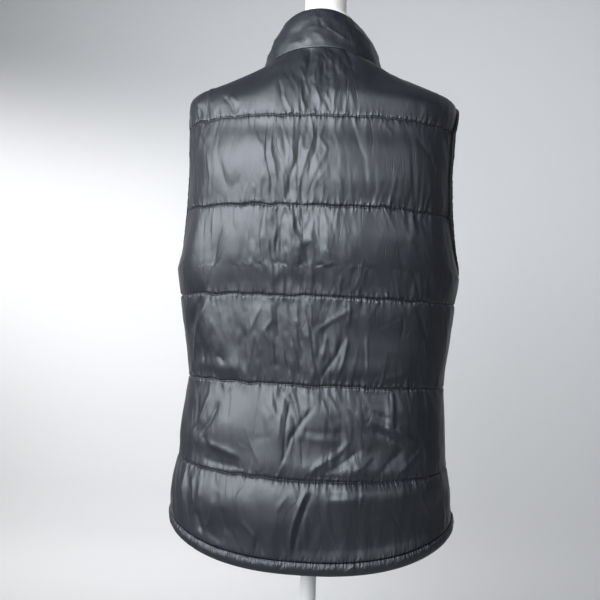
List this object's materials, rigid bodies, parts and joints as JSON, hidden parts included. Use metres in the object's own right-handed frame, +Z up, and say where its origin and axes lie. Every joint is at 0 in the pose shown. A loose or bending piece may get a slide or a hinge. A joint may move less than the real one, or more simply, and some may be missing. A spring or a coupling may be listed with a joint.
{
  "type": "puffer vest on a dress form",
  "caption": "Quilted puffer vest with a stand collar, zipped shut on a limbless dress form with a neck stump, pole and round base.",
  "frame": {"origin": "middle of the base's underside, on the floor, on the pole's axis", "axes": "+Z up, the vest's front faces -Y, the wearer's left is +X"},
  "size_m": [0.372, 0.33, 1.4603],
  "materials": {
    "shell_cloth": "glossy woven nylon, quilted",
    "binding": "dull knitted edging",
    "zip": "satin",
    "zip_tape": "twill tape",
    "form_cover": "matt white",
    "stand_metal": "satin white"
  },
  "bodies": {
    "vest_and_form": {"back": "shell_cloth", "front_left": "shell_cloth", "front_right": "shell_cloth", "collar": "shell_cloth", "hem_casing_back": "shell_cloth", "hem_casing_front_left": "shell_cloth", "hem_casing_front_right": "shell_cloth", "armhole_binding_left": "binding", "armhole_binding_right": "binding", "zip_tape_left": "zip_tape", "zip_tape_right": "zip_tape", "zip_slider": "zip", "zip_box": "zip", "form_torso": "form_cover", "form_neck_post": "form_cover", "form_socket": "stand_metal", "pole": "stand_metal", "base_socket": "stand_metal", "base_plate": "stand_metal"},
    "pull_tab": {"zip_pull": "zip"}
  },
  "joints": [
    {"name": "zip_pull_hinge", "type": "hinge", "parent": "vest_and_form", "child": "pull_tab", "pos_m": [0, -0.06711, 1.333], "axis": [-1, 0, 0], "range_deg": [0, 165]}
  ]
}
